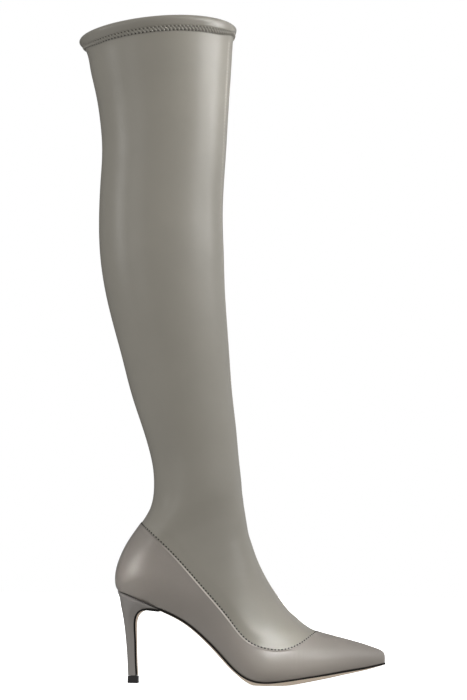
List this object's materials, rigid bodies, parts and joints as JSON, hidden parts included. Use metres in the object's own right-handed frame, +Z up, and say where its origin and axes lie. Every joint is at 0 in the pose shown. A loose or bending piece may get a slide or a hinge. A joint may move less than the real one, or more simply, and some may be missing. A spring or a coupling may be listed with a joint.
{
  "type": "over-the-knee boot",
  "caption": "Over-the-knee stretch boot for the right foot: pointed pump-shaped foot piece seamed to a plain shaft, bound collar, thin sole and slim covered stiletto heel.",
  "frame": {"origin": "middle of the boot's bounding box, on the floor it stands on", "axes": "+Z up along the leg, +X towards the toe, -Y to the outer side of the foot"},
  "size_m": [0.2912, 0.1324, 0.6116],
  "materials": {
    "upper_leather": "satin grey-taupe leather with a fine grain",
    "shaft_leather": "satin grey-taupe stretch leather with a fine grain",
    "binding_leather": "satin grey-taupe folded leather",
    "sole_leather": "smooth tan sole leather with a black painted edge",
    "sock_lining": "matt grey lining",
    "heel_cover": "satin grey-taupe leather cover",
    "tip_rubber": "matt black"
  },
  "bodies": {
    "root": {"upper": "upper_leather", "shaft": "shaft_leather", "top_binding": "binding_leather", "outsole": "sole_leather", "insole": "sock_lining", "heel": "heel_cover", "heel_tip": "tip_rubber"}
  },
  "joints": []
}
